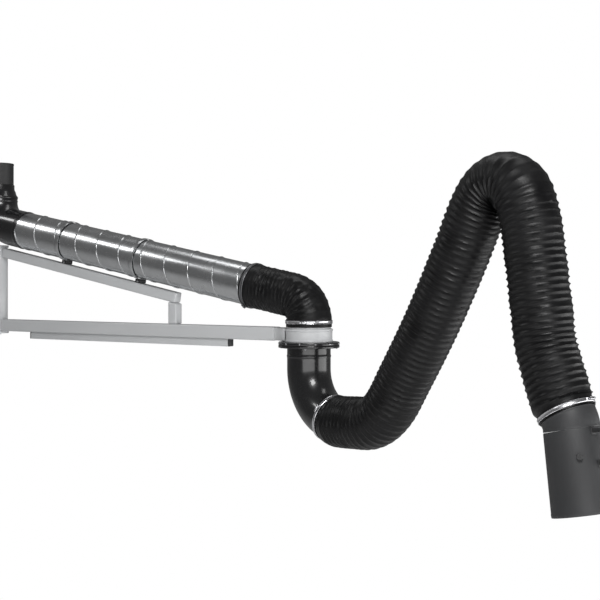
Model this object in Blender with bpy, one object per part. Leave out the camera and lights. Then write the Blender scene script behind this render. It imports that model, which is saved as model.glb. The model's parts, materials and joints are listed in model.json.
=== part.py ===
"""Wall-mounted fume extraction arm on a swinging boom, as separate solid pieces."""

import math

import bmesh
import bpy
from mathutils import Matrix, Vector

# ---- driving dimensions, metres and degrees ----
plate_thick = 0.010
plate_width = 0.160
plate_low = -0.130
plate_over_spigot = 0.040  # wall plate above the top of the fixed pipe
swing_offset = 0.140  # wall face to the boom's swing axis
reach = 1.600  # swing axis to the ring axis
arm_turn = -19.6  # heading of the arm at rest, from +X

post_r = 0.038
post_wall = 0.004
lug_thick = 0.010
lug_rim = 0.004
pin_r = 0.010
pin_head = 0.006
bolt_r = 0.010
bolt_high = 0.008
bolt_inset = (0.035, 0.025)  # from the plate's ends and sides
bush_high = 0.030
beam_size = 0.050
beam_wall = 0.003
strut_size = 0.040
strut_from_ring = 0.617
tilt = 11.0  # slope of the brace beam and duct, down towards the ring
duct_r = 0.080
duct_wall = 0.0015
duct_over_brace = 0.016  # clear gap between the duct and the brace beam
duct_end = 0.255  # duct's free end, from the ring axis
duct_from_swing = 0.180  # duct's wall end, from the swing axis
saddle_places = (0.775, 1.175)
saddle_long = 0.030
saddle_wide = 0.034
saddle_angle = 12.0  # half of the angle that a saddle's seat covers
strap_wide = 0.022
strap_thick = 0.0016
rail_width = 0.030
rail_high = 0.028
rail_wall = 0.0025
rail_slot = 0.012
rail_ends = (0.352, 1.388)
cap_thick = 0.006

cast_neck_long = 0.050
cast_neck_angle = 40.0  # half of the angle of the ring that the cast neck meets
ring_r = 0.0865
ring_bore = 0.0762
sleeve_wall = 0.004
ring_top = 0.022
ring_round = 0.004
spigot_r = 0.0785
spigot_top = 0.056
flange_r = 0.110
flange_thick = 0.010
elbow_hose_over = 0.003  # elbow hose's outside over the duct's
elbow_hose_bend_over = 0.007  # its bend's radius over the hose's own
elbow_hose_low = 0.006  # bottom of the elbow hose above the ring band
elbow_hose_rise = 0.02555  # straight part of the elbow hose below its bend
elbow_clamp_places = (0.018, 0.014)  # clamp middles, from the lower and upper ends of the hose
hose_wall = 0.003
band_thick = 0.0016
band_wide = 0.012

arm_pipe_r = 0.080
arm_pipe_wall = 0.003
elbow_drop = 0.120  # depth of the rigid elbow's straight part below the boom
elbow_bend = 0.170
elbow_sweep = 74.0
hose_r = 0.0905
shoulder_at = (0.370, -0.270)  # along the arm and up, from the ring axis
elbow_at = (0.945, 0.445)
cuff_thick = 0.0025  # hose cuff round the pipe radius, under the clamps
hose_end_long = 0.022
arm_clamp_place = 0.010  # clamp's middle, from the end of the long hose
hose_taper = 0.020
wrist_at = (1.128, -0.100)
bar_wide = 0.030
bar_thick = 0.006
neck_bar_wide = 0.022
link_pin_r = 0.005
link_pin_over = 0.006
screw_r = 0.005
screw_high = 0.0035
screw_inset = 0.010

neck_tilt = 30.0  # lean of the neck from vertical
neck_r = 0.0800
neck_wall = 0.003
neck_long = 0.040
neck_from_wrist = 0.090
hood_mouth_r = 0.0955
hood_wall = 0.0025
hood_long = 0.232
hood_tilt = 12.5
hood_heading = -44.4  # which way the damper's knob faces, from the arm's plane
rod_r = 0.003
rod_drop = 0.076  # damper rod below the hood's top
rod_out = 0.004
knob_r = 0.009
knob_high = 0.0085
damper_thick = 0.002
damper_play = 0.004
handle_r = 0.006
handle_high = 0.090
handle_out = 0.038
handle_drop = 0.012
handle_turn = 53.0  # from the far side of the hood round towards the knob
handle_bend = 0.016
inlet_r = 0.0630
inlet_wall = 0.003
inlet_lip = 0.001
inlet_long = 0.115
bracket_thick = 0.008
bracket_rim = 0.014
bracket_drop = 0.0375  # bracket's middle below the top of the fixed pipe
collar_long = 0.038
collar_wall = 0.0035
collar_neck = 0.022
wall_bend = 0.115
wall_elbow_rise = 0.0135  # straight part of the wall elbow above its bend

gap = 0.0005  # clearance between separate pieces
turn_gap = 0.0014  # clearance between large round pieces that turn in each other
fine = 20
small = 12

ring_x = swing_offset + reach
slope = math.tan(math.radians(tilt))
hood_top_r = neck_r
elbow_hose_r = duct_r + elbow_hose_over
elbow_hose_bend = elbow_hose_r + elbow_hose_bend_over
beam_half = beam_size / 2
beam_stop = ring_x - ring_r - cast_neck_long
flange_top = -beam_half - gap
swivel_top = flange_top - flange_thick - gap
duct_start = reach - duct_from_swing
# the elbow hose's bend over the ring sets the height of the duct, and the duct that of its brace
ring_knee = elbow_hose_bend * (1 - math.sin(math.radians(tilt)))
ring_knee_high = (
    ring_top + elbow_hose_low + elbow_hose_rise + elbow_hose_bend * math.cos(math.radians(tilt))
)
duct_at_strut = ring_knee_high + slope * (strut_from_ring - ring_knee)
duct_to_brace = (duct_r + strut_size / 2 + duct_over_brace) / math.cos(math.radians(tilt))
brace_at_strut = duct_at_strut - duct_to_brace
brace_half = strut_size / 2 / math.cos(math.radians(tilt))
brace_rise = slope * (reach - post_r - strut_from_ring)
post_low = -beam_half
post_top = brace_at_strut + brace_rise + brace_half + 0.001
# the wall elbow's bend, and everything above it
knee_from_ring = reach - wall_bend * (1 - math.sin(math.radians(tilt)))
knee_high = duct_at_strut + slope * (knee_from_ring - strut_from_ring)
wall_bend_high = knee_high + wall_bend * math.cos(math.radians(tilt))
wall_elbow_top = wall_bend_high + wall_elbow_rise
inlet_low = wall_elbow_top + collar_long
inlet_top = inlet_low + inlet_long
plate_high = inlet_top + plate_over_spigot


# ---- helpers ----
def clear_scene():
    for obj in list(bpy.data.objects):
        bpy.data.objects.remove(obj, do_unlink=True)


def material(name, colour, rough, metal):
    mat = bpy.data.materials.new(name)
    mat.use_nodes = True
    shader = mat.node_tree.nodes["Principled BSDF"]
    shader.inputs["Base Color"].default_value = (*colour, 1.0)
    shader.inputs["Roughness"].default_value = rough
    shader.inputs["Metallic"].default_value = metal
    mat.diffuse_color = (*colour, 1.0)
    return mat


finishes = {
    "paint": ((0.78, 0.79, 0.80), 0.38, 0.0),
    "zinc": ((0.70, 0.71, 0.73), 0.32, 1.0),
    "steel": ((0.62, 0.62, 0.64), 0.30, 1.0),
    "black": ((0.015, 0.015, 0.016), 0.30, 0.0),
    "hose": ((0.030, 0.030, 0.032), 0.62, 0.0),
    "hood": ((0.070, 0.072, 0.075), 0.42, 0.0),
}


def finish(name, bm, look, parent=None, smooth=True):
    """Turns a bmesh into the named object with its own material."""
    bmesh.ops.recalc_face_normals(bm, faces=bm.faces)
    if bm.calc_volume(signed=True) < 0:
        bmesh.ops.reverse_faces(bm, faces=bm.faces)
    mesh = bpy.data.meshes.new(name)
    bm.to_mesh(mesh)
    bm.free()
    mesh.materials.append(material(name, *finishes[look]))
    if smooth:
        mesh.shade_smooth()
        mesh.set_sharp_from_angle(angle=math.radians(35))
    obj = bpy.data.objects.new(name, mesh)
    bpy.context.collection.objects.link(obj)
    obj.parent = parent
    return obj


def empty(name, place, parent=None, turn=0.0):
    obj = bpy.data.objects.new(name, None)
    bpy.context.collection.objects.link(obj)
    obj.parent = parent
    obj.location = place
    obj.rotation_euler = (0, 0, math.radians(turn))
    return obj


def rings_to_solid(bm, rings):
    """Joins rings of points, the last back to the first, into one closed skin."""
    rows = [[bm.verts.new(p) for p in ring] for ring in rings]
    for low, high in zip(rows, rows[1:] + rows[:1]):
        for i in range(len(low)):
            j = (i + 1) % len(low)
            bm.faces.new((low[i], low[j], high[j], high[i]))


def turned(name, profile, look, parent=None, place=(0, 0, 0), matrix=None, steps=fine):
    """A ring-shaped solid: a closed outline of (radius, height) turned about Z."""
    bm = bmesh.new()
    rings = []
    for r, z in profile:
        angles = [2 * math.pi * i / steps for i in range(steps)]
        rings.append([(r * math.cos(a), r * math.sin(a), z) for a in angles])
    rings_to_solid(bm, rings)
    bm.transform(Matrix.Translation(place) @ (matrix or Matrix()))
    return finish(name, bm, look, parent)


def tube_outline(outer, inner, low, high):
    return [(outer, low), (outer, high), (inner, high), (inner, low)]


def disc(name, r, low, high, look, parent=None, place=(0, 0, 0), matrix=None, steps=small, edge=0.0):
    """A solid round piece with a bevelled rim."""
    bm = bmesh.new()
    bmesh.ops.create_cone(
        bm, cap_ends=True, segments=steps, radius1=r, radius2=r, depth=high - low
    )
    bm.transform(Matrix.Translation((0, 0, (low + high) / 2)))
    if edge:
        rim = [e for e in bm.edges if len({round(v.co.z, 6) for v in e.verts}) == 1]
        bmesh.ops.bevel(bm, geom=rim, offset=edge, segments=1, affect="EDGES")
    bm.transform(Matrix.Translation(place) @ (matrix or Matrix()))
    return finish(name, bm, look, parent)


def block(name, low, high, look, parent=None, edge=0.0, matrix=None):
    bm = bmesh.new()
    bmesh.ops.create_cube(bm, size=1)
    size = Vector(high) - Vector(low)
    middle = (Vector(high) + Vector(low)) / 2
    bmesh.ops.scale(bm, vec=size, verts=bm.verts)
    bmesh.ops.translate(bm, vec=middle, verts=bm.verts)
    if edge:
        bmesh.ops.bevel(bm, geom=bm.edges[:], offset=edge, segments=2, affect="EDGES")
    if matrix:
        bm.transform(matrix)
    return finish(name, bm, look, parent)


def prism(name, outline, depth, look, parent=None, matrix=None, smooth=True):
    """An outline in X and Z, as deep as given along Y, centred on Y = 0."""
    bm = bmesh.new()
    verts = [bm.verts.new((x, -depth / 2, z)) for x, z in outline]
    face = bm.faces.new(verts)
    moved = bmesh.ops.extrude_face_region(bm, geom=[face])["geom"]
    ends = [v for v in moved if isinstance(v, bmesh.types.BMVert)]
    bmesh.ops.translate(bm, vec=(0, depth, 0), verts=ends)
    if matrix:
        bm.transform(matrix)
    return finish(name, bm, look, parent, smooth)


def cut(obj, cutter):
    cutter.hide_render = True
    cutter.display_type = "WIRE"
    mod = obj.modifiers.new("cut", "BOOLEAN")
    mod.operation = "DIFFERENCE"
    mod.solver = "EXACT"
    mod.object = cutter


def square_tube(name, start, end, size, wall, look, parent=None, plumb_ends=False, fall=0.0):
    """An open square tube from start to end, both in the plane Y = 0.

    fall is how far the cut at its end drops for each metre along X.
    """
    along = Vector(end) - Vector(start)
    way = along.normalized()
    up = Vector((-way.z, 0, way.x))
    side = Vector((0, 1, 0))
    bm = bmesh.new()
    rings = []
    for half, tip in ((size / 2, start), (size / 2, end), (size / 2 - wall, end), (size / 2 - wall, start)):
        corner = min(0.006, half * 0.3)
        ring = []
        for a, b in ((1, 1), (-1, 1), (-1, -1), (1, -1)):
            first = (half - corner * (a != b), half - corner * (a == b))
            second = (half - corner * (a == b), half - corner * (a != b))
            for y, z in (first, second):
                point = Vector(tip) + side * (a * y) + up * (b * z)
                if plumb_ends:
                    point += way * (b * z * way.z / way.x)
                if tip == end:
                    point.z -= fall * (point.x - tip[0])
                ring.append(point)
        rings.append(ring)
    rings_to_solid(bm, rings)
    return finish(name, bm, look, parent)


def headings(points):
    """The direction at each point of a route, carried on round the bend at its two ends."""
    steps = [(b - a).normalized() for a, b in zip(points, points[1:])]
    inner = [(a + b).normalized() for a, b in zip(steps, steps[1:])]
    if not inner:
        return steps * 2
    first = (2 * steps[0] - inner[0]).normalized()
    last = (2 * steps[-1] - inner[-1]).normalized()
    return [first, *inner, last]


def pipe(name, route, outer, wall, look, parent=None, steps=fine, inset=None, ways=None):
    """A pipe round a route of (x, z) points in the plane Y = 0.

    inset gives, for each point, how far the wall is drawn in there.
    """
    points = [Vector((x, 0, z)) for x, z in route]
    inset = inset or [0.0] * len(points)
    skins = []
    for skin in (outer, outer - wall):
        rings = []
        for i, (point, way) in enumerate(zip(points, ways or headings(points))):
            out = Vector((-way.z, 0, way.x))
            ring = []
            r = skin - inset[i]
            for k in range(steps):
                a = 2 * math.pi * k / steps
                ring.append(point + out * (r * math.cos(a)) + Vector((0, r * math.sin(a), 0)))
            rings.append(ring)
        skins.append(rings)
    bm = bmesh.new()
    rings_to_solid(bm, skins[0] + skins[1][::-1])
    return finish(name, bm, look, parent)


def arc(centre, r, first, last, steps):
    """Points round a centre, from one angle to another in degrees."""
    out = []
    for i in range(steps + 1):
        a = math.radians(first + (last - first) * i / steps)
        out.append((centre[0] + r * math.cos(a), centre[1] + r * math.sin(a)))
    return out


def smooth_route(points, steps):
    """A smooth curve through hand-placed points, with each direction taken from its neighbours."""
    pts = [Vector(p) for p in points]
    pts = [2 * pts[0] - pts[1], *pts, 2 * pts[-1] - pts[-2]]
    out = []
    for a, b, c, d in zip(pts, pts[1:], pts[2:], pts[3:]):
        leave = (c - a).normalized() * (c - b).length
        arrive = (d - b).normalized() * (c - b).length
        for i in range(steps):
            t = i / steps
            out.append(
                b * (2 * t**3 - 3 * t**2 + 1) + leave * (t**3 - 2 * t**2 + t)
                + c * (3 * t**2 - 2 * t**3) + arrive * (t**3 - t**2)
            )
    out.append(pts[-2])
    return [(p.x, p.y) for p in out]


def along(route, near, far):
    """The points of a route between two distances from its start, and the direction at each."""
    points = [Vector((x, 0, z)) for x, z in route]
    ways = headings(points)
    travelled = [0.0]
    for a, b in zip(points, points[1:]):
        travelled.append(travelled[-1] + (b - a).length)
    stops = [near, *[d for d in travelled if near + 0.002 < d < far - 0.002], far]
    spots, turns = [], []
    for stop in stops:
        i = max(k for k, d in enumerate(travelled[:-1]) if d <= stop)
        t = min((stop - travelled[i]) / (travelled[i + 1] - travelled[i]), 1.0)
        spot = points[i].lerp(points[i + 1], t)
        spots.append((spot.x, spot.z))
        turns.append(ways[i].lerp(ways[i + 1], t).normalized())
    return spots, turns


def route_length(route):
    return sum(math.dist(a, b) for a, b in zip(route, route[1:]))


def facing(direction):
    """A rotation that takes +Z to the given direction."""
    return Vector(direction).to_track_quat("Z", "Y").to_matrix().to_4x4()


def band(name, place, direction, r, parent=None):
    """A clamp band round a pipe."""
    outline = tube_outline(r + band_thick, r, -band_wide / 2, band_wide / 2)
    turned(name, outline, "steel", parent, place, facing(direction))


# ---- wall side ----
def wall_mount():
    half = plate_width / 2
    block(
        "wall_plate", (0, -half, plate_low), (plate_thick, half, plate_high), "paint", edge=0.003
    )
    from_end, from_side = bolt_inset
    for i, z in enumerate((plate_low + from_end, plate_high - from_end)):
        for k, y in enumerate((-half + from_side, half - from_side)):
            disc(
                f"wall_bolt_{2 * i + k + 1}", bolt_r, 0, bolt_high, "steel",
                place=(plate_thick + gap, y, z), matrix=facing((1, 0, 0)), steps=6
            )




def lug(name, z):
    """A bearing plate from the wall plate to beyond the swing axis."""
    nose = post_r + lug_rim
    outline = [(plate_thick + gap, -nose), *arc((swing_offset, 0), nose, -90, 90, 12)]
    outline.append((plate_thick + gap, nose))
    obj = prism(name, outline, lug_thick, "paint", matrix=Matrix.Rotation(math.radians(-90), 4, "X"))
    obj.location = (0, 0, z)
    cutter = disc(f"{name}_cut", pin_r + gap, -0.05, 0.05, "steel", place=(swing_offset, 0, z))
    cut(obj, cutter)


def wall_bearings():
    low = post_low - gap - lug_thick / 2
    high = post_top + gap + lug_thick / 2
    lug("lug_lower", low)
    lug("lug_upper", high)
    lower = (low - lug_thick / 2 - pin_head, post_low + bush_high)
    upper = (post_top - bush_high, high + lug_thick / 2 + pin_head / 3)
    for name, (start, end) in (("pin_lower", lower), ("pin_upper", upper)):
        disc(name, pin_r, start, end, "steel", place=(swing_offset, 0, 0), edge=0.001)


def wall_spigot():
    """The fixed extraction pipe above the elbow, held by a plate off the wall."""
    place = (swing_offset, 0, 0)
    lip = inlet_r + inlet_lip
    inside = inlet_r - inlet_wall
    outline = [
        (inlet_r, inlet_low), (inlet_r, inlet_top - 0.010), (lip, inlet_top - 0.008),
        (lip, inlet_top), (inside, inlet_top), (inside, inlet_low),
    ]
    turned("wall_spigot", outline, "black", place=place)
    z = inlet_top - bracket_drop
    nose = inlet_r + bracket_rim
    shape = [
        (plate_thick + gap, -nose), (swing_offset, -nose), (swing_offset, nose), (plate_thick + gap, nose)
    ]
    obj = prism(
        "spigot_bracket", shape, bracket_thick, "black", matrix=Matrix.Rotation(math.radians(-90), 4, "X")
    )
    obj.location = (0, 0, z)
    cutter = disc(
        "spigot_bracket_cut", inlet_r + gap, -0.05, 0.05, "steel", place=(swing_offset, 0, z), steps=fine
    )
    cut(obj, cutter)


# ---- boom ----
def boom_z(from_ring, at_strut):
    """Height of a sloping member whose height at the strut is given."""
    return at_strut + slope * (from_ring - strut_from_ring)


def boom_frame():
    place = (swing_offset, 0, 0)
    bore = pin_r + gap
    inside = post_r - post_wall
    outline = [
        (post_r, post_low), (post_r, post_top), (bore, post_top), (bore, post_top - bush_high),
        (inside, post_top - bush_high), (inside, post_low + bush_high),
        (bore, post_low + bush_high), (bore, post_low),
    ]
    turned("post", outline, "paint", place=place)
    beam_start = swing_offset + post_r + gap
    square_tube("boom_beam", (beam_start, 0, 0), (beam_stop, 0, 0), beam_size, beam_wall, "paint")
    strut_x = ring_x - strut_from_ring
    square_tube(
        "boom_strut", (strut_x, 0, beam_half + gap),
        (strut_x, 0, brace_at_strut - brace_half - 2 * gap), strut_size, beam_wall, "paint", fall=slope
    )
    start_x = swing_offset + post_r + gap + 0.002
    stop_x = strut_x + strut_size / 2
    ends = [(x, 0, boom_z(ring_x - x, brace_at_strut)) for x in (start_x, stop_x)]
    square_tube("brace_beam", ends[0], ends[1], strut_size, beam_wall, "paint", plumb_ends=True)


def boom_neck():
    """The cast neck that widens from the beam's end to the ring band."""
    start = beam_stop + gap
    outline = [(start, -beam_half)]
    reach_y = (ring_r + gap) * math.sin(math.radians(cast_neck_angle))
    reach_x = ring_x - (ring_r + gap) * math.cos(math.radians(cast_neck_angle))
    for i in range(1, 9):
        t = i / 8
        ease = t * t * (3 - 2 * t)
        outline.append((start + (reach_x - start) * t, -beam_half - (reach_y - beam_half) * ease))
    hollow = arc((ring_x, 0), ring_r + gap, 180 + cast_neck_angle, 180 - cast_neck_angle, 12)
    outline.extend(hollow[1:-1])
    outline.extend([(x, -y) for x, y in outline[:9][::-1]])
    prism(
        "boom_neck", outline, beam_size - 0.004, "paint",
        matrix=Matrix.Rotation(math.radians(-90), 4, "X")
    )


def flange_outline(top, bore):
    """Half section of a round flange with eased rims, from its top down."""
    ease = 0.002
    low = top - flange_thick
    return [
        (flange_r, low + ease), (flange_r, top - ease), (flange_r - ease, top),
        (bore, top), (bore, low), (flange_r - ease, low),
    ]


def boom_ring():
    place = (ring_x, 0, 0)
    low = -beam_half
    outline = [
        (ring_r, low), (ring_r, ring_top - ring_round), (ring_r - ring_round, ring_top),
        (spigot_r, ring_top), (spigot_r, spigot_top), (ring_bore, spigot_top), (ring_bore, low),
    ]
    turned("ring_band", outline, "paint", place=place)
    turned("flange_upper", flange_outline(flange_top, ring_bore), "black", place=place)


def tool_rail():
    """A C-shaped rail under the beam, open below, with a cap at each end."""
    top = -beam_half - gap
    low = top - rail_high
    half = rail_width / 2
    slot = rail_slot / 2
    w = rail_wall
    outline = [
        (-half, top), (half, top), (half, low), (slot, low), (slot, low + w), (half - w, low + w),
        (half - w, top - w), (w - half, top - w), (w - half, low + w), (-slot, low + w),
        (-slot, low), (-half, low),
    ]
    near = ring_x - rail_ends[1]
    far = ring_x - rail_ends[0]
    matrix = Matrix.Translation(((near + far) / 2, 0, 0)) @ Matrix.Rotation(math.radians(90), 4, "Z")
    prism("tool_rail", outline, far - near, "paint", matrix=matrix, smooth=False)
    for name, x in (("rail_cap_1", near - gap - cap_thick), ("rail_cap_2", far + gap)):
        block(name, (x, -half, low), (x + cap_thick, half, top), "black", edge=0.0015)


def duct_point(from_ring):
    return (ring_x - from_ring, boom_z(from_ring, duct_at_strut))


def duct():
    start, stop = duct_point(duct_start), duct_point(duct_end)
    points = 3
    route = [
        (start[0] + (stop[0] - start[0]) * i / points, start[1] + (stop[1] - start[1]) * i / points)
        for i in range(points + 1)
    ]
    pipe("spiral_duct", route, duct_r, duct_wall, "zinc")


def duct_supports():
    """A saddle block on the brace beam and a strap round the duct, at each support."""
    turn = math.radians(tilt)
    for i, from_ring in enumerate(saddle_places):
        x, z = duct_point(from_ring)
        matrix = Matrix.Translation((x, 0, z)) @ Matrix.Rotation(turn, 4, "Y")
        outer = duct_r + gap + strap_thick
        turned(
            f"duct_strap_{i + 1}",
            tube_outline(outer, duct_r + gap, -strap_wide / 2, strap_wide / 2), "steel",
            matrix=matrix @ Matrix.Rotation(math.radians(90), 4, "Y")
        )
        bottom = -(duct_r + duct_over_brace) + gap
        half = saddle_wide / 2
        seat = arc((0, 0), outer + gap, -90 - saddle_angle, -90 + saddle_angle, 6)
        outline = [(-half, bottom), (half, bottom)]
        outline.extend(seat[::-1])
        saddle_matrix = matrix @ Matrix.Rotation(math.radians(90), 4, "Z")
        prism(f"duct_saddle_{i + 1}", outline, saddle_long, "black", matrix=saddle_matrix)


def wall_elbow():
    """The black elbow from the duct's start up to the fixed spigot, on the swing axis."""
    start = duct_point(duct_start)
    way = Vector((-math.cos(math.radians(tilt)), math.sin(math.radians(tilt))))
    first = Vector(start) + way * gap
    knee = Vector((ring_x - knee_from_ring, knee_high))
    centre = (swing_offset + wall_bend, wall_bend_high)
    top = wall_elbow_top
    route = [tuple(first), tuple((first + knee) / 2), *arc(centre, wall_bend, 270 - tilt, 180, 10)]
    route += [(swing_offset, (centre[1] + top) / 2), (swing_offset, top)]
    wide = duct_r + 0.001
    pipe("wall_elbow", route, wide, inlet_wall, "black")
    neck = inlet_r + collar_wall
    bore = inlet_r + turn_gap
    outline = [
        (wide, top + gap), (wide, top + 0.008), (neck, inlet_low), (neck, inlet_low + collar_neck),
        (bore, inlet_low + collar_neck), (bore, inlet_low - 0.002),
        (wide - inlet_wall, top + 0.006), (wide - inlet_wall, top + gap),
    ]
    turned("swivel_collar", outline, "black", place=(swing_offset, 0, 0))


def hose_elbow():
    """The flexible elbow from the duct's end down on to the ring's spigot."""
    start = Vector(duct_point(duct_end - gap))
    down = math.radians(tilt)
    way = Vector((math.cos(down), -math.sin(down)))
    bend = elbow_hose_bend
    knee = Vector((ring_x - ring_knee, ring_knee_high))
    centre = (ring_x - bend, ring_knee_high - bend * math.cos(down))
    low = ring_top + elbow_hose_low
    route = [tuple(start), tuple((start + knee) / 2), *arc(centre, bend, 90 - tilt, 0, 10)]
    route += [(ring_x, (centre[1] + low) / 2), (ring_x, low)]
    pipe("hose_elbow", route, elbow_hose_r, elbow_hose_r - spigot_r - gap, "hose")
    clamp_r = elbow_hose_r + gap
    band("hose_clamp_1", (ring_x, 0, low + elbow_clamp_places[0]), (0, 0, 1), clamp_r)
    place = start + way * elbow_clamp_places[1]
    band("hose_clamp_2", (place.x, 0, place.y), (way.x, 0, way.y), clamp_r)


# ---- arm, in the arm's own plane: X along the arm, Z up, origin on the ring axis ----
elbow_exit_way = (math.sin(math.radians(elbow_sweep)), -math.cos(math.radians(elbow_sweep)))
elbow_exit = (
    elbow_bend * (1 - math.cos(math.radians(elbow_sweep))),
    -elbow_drop - elbow_bend * math.sin(math.radians(elbow_sweep)),
)
neck_way = (math.sin(math.radians(neck_tilt)), -math.cos(math.radians(neck_tilt)))
neck_end = (
    wrist_at[0] + neck_way[0] * neck_from_wrist, wrist_at[1] + neck_way[1] * neck_from_wrist
)


def hose_route():
    """Centre line of the long hose from the rigid elbow to the neck."""
    lead = 0.026
    first, last = Vector(elbow_exit), Vector(neck_end)
    out, back = Vector(elbow_exit_way), -Vector(neck_way)
    shaped = [
        (0.250, -0.291), (0.350, -0.279), (0.427, -0.229), (0.500, -0.131), (0.632, 0.062), (0.760, 0.278),
        (0.828, 0.404), (0.882, 0.467), (0.945, 0.486), (1.002, 0.455), (1.034, 0.380),
        (1.055, 0.270), (1.076, 0.130), (1.096, 0.010),
    ]
    ends = [first + out * 2 * gap, first + out * lead, first + out * 1.6 * lead]
    tips = [last + back * 1.6 * lead, last + back * lead, last]
    return smooth_route([*ends, *shaped, *tips], 2)


bend_cuts = (0.36, 0.31, 0.10)  # lengths of the shoulder, elbow and wrist bends of the hose


def nearest_distance(route, place):
    """Distance along a route to its point nearest a place."""
    best = (9.0, 0.0)
    travelled = 0.0
    for a, b in zip(route, route[1:]):
        best = min(best, (math.dist(a, place), travelled))
        travelled += math.dist(a, b)
    return best[1]


def arm_hose(parents):
    route = hose_route()
    total = route_length(route)
    at_top = nearest_distance(route, (elbow_at[0], elbow_at[1] + 0.03))
    cuts = [
        0.0, bend_cuts[0], at_top - bend_cuts[1] / 2, at_top + bend_cuts[1] / 2,
        total - bend_cuts[2], total,
    ]
    names = ("hose_bend_shoulder", "hose_lower", "hose_bend_elbow", "hose_outer", "hose_bend_wrist")
    owners = ("swivel", "lower_arm", "lower_arm", "outer_arm", "outer_arm")
    for name, owner, near, far in zip(names, owners, cuts, cuts[1:]):
        near = near + (gap if near else 0.0)
        part, ways = along(route, near, far)
        inset = []
        travelled = near
        for i, point in enumerate(part):
            travelled += math.dist(part[i - 1], point) if i else 0.0
            from_end = min(travelled, total - travelled)
            t = min(max((from_end - hose_end_long) / hose_taper, 0.0), 1.0)
            cuff_r = (arm_pipe_r if travelled < total / 2 else neck_r) + cuff_thick
            inset.append((hose_r - cuff_r) * (1 - t))
        pipe(name, part, hose_r, hose_wall, "hose", parents[owner], inset=inset, ways=ways)
    for name, at, way, pipe_r, owner in (
        ("arm_clamp_1", route[0], elbow_exit_way, arm_pipe_r, "swivel"),
        ("arm_clamp_2", route[-1], (-neck_way[0], -neck_way[1]), neck_r, "neck"),
    ):
        place = (at[0] + way[0] * arm_clamp_place, 0, at[1] + way[1] * arm_clamp_place)
        band(name, place, (way[0], 0, way[1]), pipe_r + cuff_thick + gap, parents[owner])


def swivel_flange(parent):
    top = swivel_top
    sleeve = ring_bore - turn_gap
    inside = sleeve - sleeve_wall
    turned("flange_lower", flange_outline(top, inside + 0.0012), "black", parent)
    turned("swivel_sleeve", tube_outline(sleeve, inside, top + gap, ring_top), "steel", parent)
    for i in range(4):
        a = math.radians(45 + 90 * i)
        circle = flange_r - screw_inset
        under = top - flange_thick - gap
        disc(
            f"flange_screw_{i + 1}", screw_r, under - screw_high, under, "steel", parent,
            (circle * math.cos(a), circle * math.sin(a), 0)
        )


def arm_elbow(parent):
    top = swivel_top - flange_thick - gap
    centre = (elbow_bend, -elbow_drop)
    middle = (0, (top - elbow_drop) / 2)
    route = [(0, top), middle, *arc(centre, elbow_bend, 180, 180 + elbow_sweep, 12)]
    pipe("arm_elbow", route, arm_pipe_r, arm_pipe_wall, "black", parent)


def link(name, start, end, offset, look, parent, wide=bar_wide):
    """A flat bar with round ends and a pin hole in each, offset along Y."""
    way = Vector((end[0] - start[0], end[1] - start[1]))
    length = way.length
    half = wide / 2
    outline = [*arc((0, 0), half, 270, 90, 8), *arc((length, 0), half, 90, -90, 8)]
    angle = -math.atan2(way.y, way.x)
    place = Matrix.Translation((start[0], offset, start[1])) @ Matrix.Rotation(angle, 4, "Y")
    obj = prism(name, outline, bar_thick, look, parent, place)
    for k, x in enumerate((0, length)):
        cutter = disc(
            f"{name}_cut_{k + 1}", link_pin_r + gap, -0.02, 0.02, "steel", parent,
            matrix=place @ Matrix.Translation((x, 0, 0)) @ Matrix.Rotation(math.radians(90), 4, "X")
        )
        cut(obj, cutter)


def joint_pin(name, place, half, parent):
    disc(
        name, link_pin_r, -half, half, "steel", parent,
        matrix=Matrix.Translation((place[0], 0, place[1])) @ Matrix.Rotation(math.radians(90), 4, "X")
    )


def links(parents):
    """The friction linkage inside the hose: single bars between pairs of bars."""
    side = bar_thick + gap
    root = (elbow_exit[0] - 0.005, elbow_exit[1])
    link("shoulder_link", root, shoulder_at, 0, "steel", parents["swivel"])
    for name, y in (("lower_link_left", side), ("lower_link_right", -side)):
        link(name, shoulder_at, elbow_at, y, "steel", parents["lower_arm"])
    link("outer_link", elbow_at, wrist_at, 0, "steel", parents["outer_arm"])
    link("neck_link", wrist_at, neck_end, side, "steel", parents["neck"], neck_bar_wide)
    pin_half = bar_thick * 1.5 + 2 * gap + link_pin_over
    for name, place, owner in (
        ("shoulder_pin", shoulder_at, "lower_arm"), ("elbow_pin", elbow_at, "lower_arm"),
        ("wrist_pin", wrist_at, "neck"),
    ):
        joint_pin(name, place, pin_half, parents[owner])


hood_way = (math.sin(math.radians(hood_tilt)), -math.cos(math.radians(hood_tilt)))


def neck_route():
    """The collar's centre line, bending from the neck's lean to the hood's."""
    steps = 6
    point = (neck_end[0] + neck_way[0] * 2 * gap, neck_end[1] + neck_way[1] * 2 * gap)
    out = [point]
    for i in range(steps):
        bent = min(max((i - 1) / (steps - 3), 0.0), 1.0)
        lean = math.radians(neck_tilt + (hood_tilt - neck_tilt) * bent)
        step = neck_long / steps
        point = (point[0] + math.sin(lean) * step, point[1] - math.cos(lean) * step)
        out.append(point)
    return out


def hood_frame():
    """The hood's frame: Z down its axis from its top, X towards the damper's knob."""
    top = neck_route()[-1]
    down = Vector((hood_way[0], 0, hood_way[1]))
    heading = math.radians(hood_heading)
    ahead = Vector((math.cos(heading), math.sin(heading), 0))
    ahead = (ahead - down * ahead.dot(down)).normalized()
    side = down.cross(ahead)
    turn = Matrix((ahead, side, down)).transposed().to_4x4()
    return Matrix.Translation((top[0], 0, top[1])) @ turn


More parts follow.
